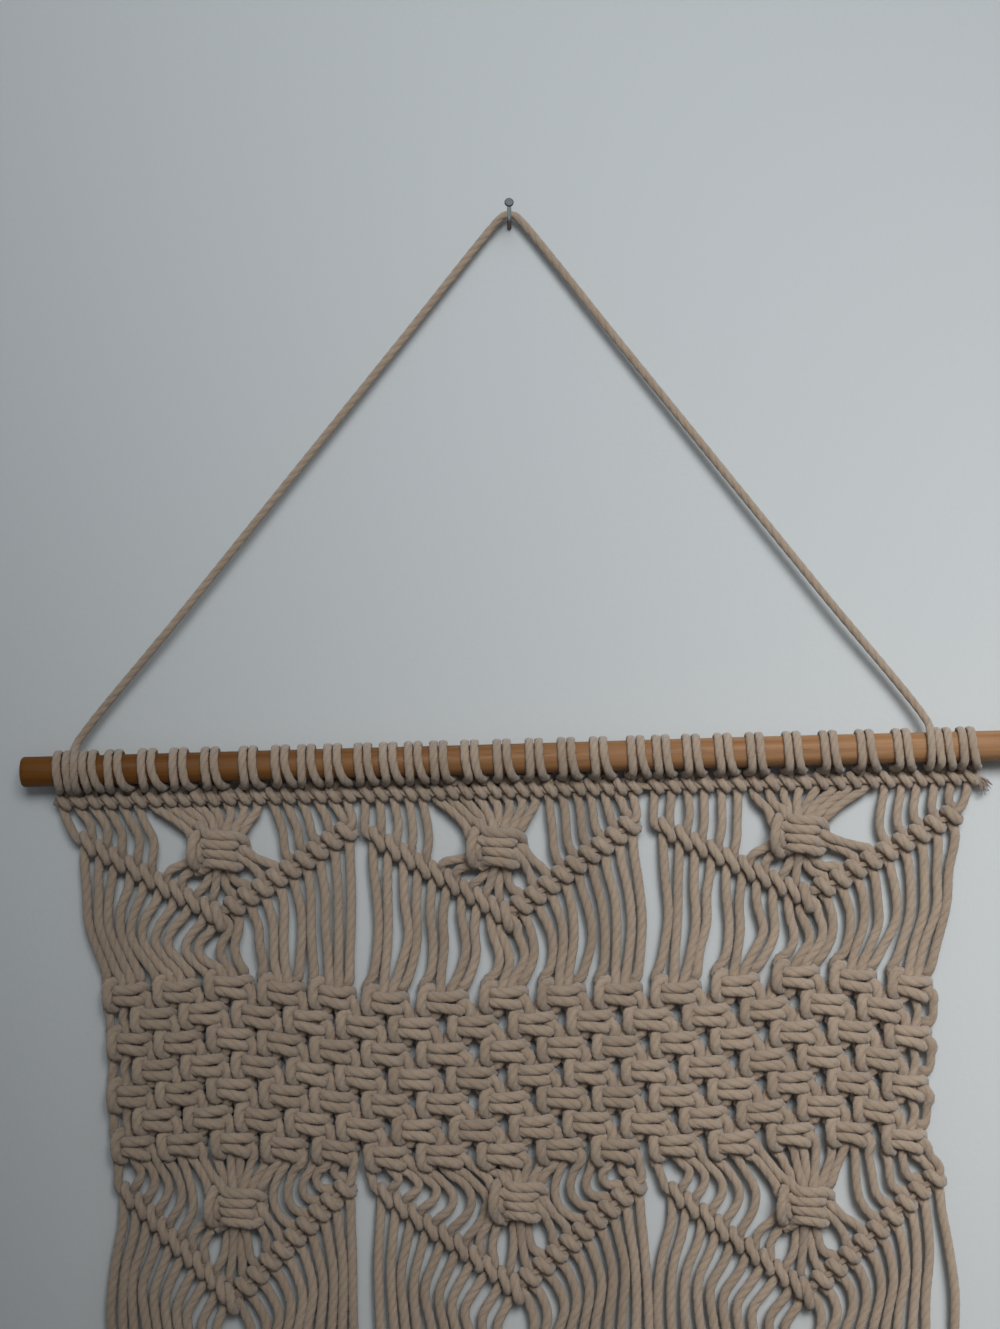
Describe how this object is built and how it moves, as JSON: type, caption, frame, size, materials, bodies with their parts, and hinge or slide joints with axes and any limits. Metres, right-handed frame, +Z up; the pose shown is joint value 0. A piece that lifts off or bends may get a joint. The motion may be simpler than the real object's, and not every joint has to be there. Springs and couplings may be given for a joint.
{
  "type": "macrame wall hanging on a wooden rod",
  "caption": "Openwork hanging of knotted cotton cord on a plain wooden rod, with V-shaped motifs, a net band of square knots and a straight fringe, hung by a cord from a nail.",
  "frame": {"origin": "the point where the nail that carries the hanging leaves the wall", "axes": "+X to the right as seen from the room, +Z up, +Y into the wall: the wall is the plane Y = 0 and the hanging is in front of it"},
  "size_m": [0.4, 0.0236, 0.5535],
  "materials": {
    "rod_wood": "stained and rubbed, fine straight grain, satin",
    "nail_steel": "dull dark steel",
    "cotton_cord": "three-ply twisted cotton cord, undyed beige, matt with fine fuzz"
  },
  "bodies": {
    "root": {"rod": "rod_wood", "nail": "nail_steel", "hanger_cord": "cotton_cord", "cord_loop_01": "cotton_cord", "cord_loop_02": "cotton_cord", "cord_loop_03": "cotton_cord", "cord_loop_04": "cotton_cord", "cord_loop_05": "cotton_cord", "cord_loop_06": "cotton_cord", "cord_loop_07": "cotton_cord", "cord_loop_08": "cotton_cord", "cord_loop_09": "cotton_cord", "cord_loop_10": "cotton_cord", "cord_loop_11": "cotton_cord", "cord_loop_12": "cotton_cord", "cord_loop_13": "cotton_cord", "cord_loop_14": "cotton_cord", "cord_loop_15": "cotton_cord", "cord_loop_16": "cotton_cord", "cord_loop_17": "cotton_cord", "cord_loop_18": "cotton_cord", "cord_loop_19": "cotton_cord", "cord_loop_20": "cotton_cord", "cord_loop_21": "cotton_cord", "cord_loop_22": "cotton_cord", "cord_loop_23": "cotton_cord", "cord_loop_24": "cotton_cord", "cord_loop_25": "cotton_cord", "cord_loop_26": "cotton_cord", "cord_loop_27": "cotton_cord", "cord_loop_28": "cotton_cord", "cord_loop_29": "cotton_cord", "cord_loop_30": "cotton_cord", "heading_row": "cotton_cord", "cord_end": "cotton_cord", "upper_motif_1": "cotton_cord", "upper_motif_2": "cotton_cord", "upper_motif_3": "cotton_cord", "knot_band": "cotton_cord", "lower_motif_1": "cotton_cord", "lower_motif_2": "cotton_cord", "lower_motif_3": "cotton_cord", "fringe_1": "cotton_cord", "fringe_2": "cotton_cord", "fringe_3": "cotton_cord"}
  },
  "joints": []
}
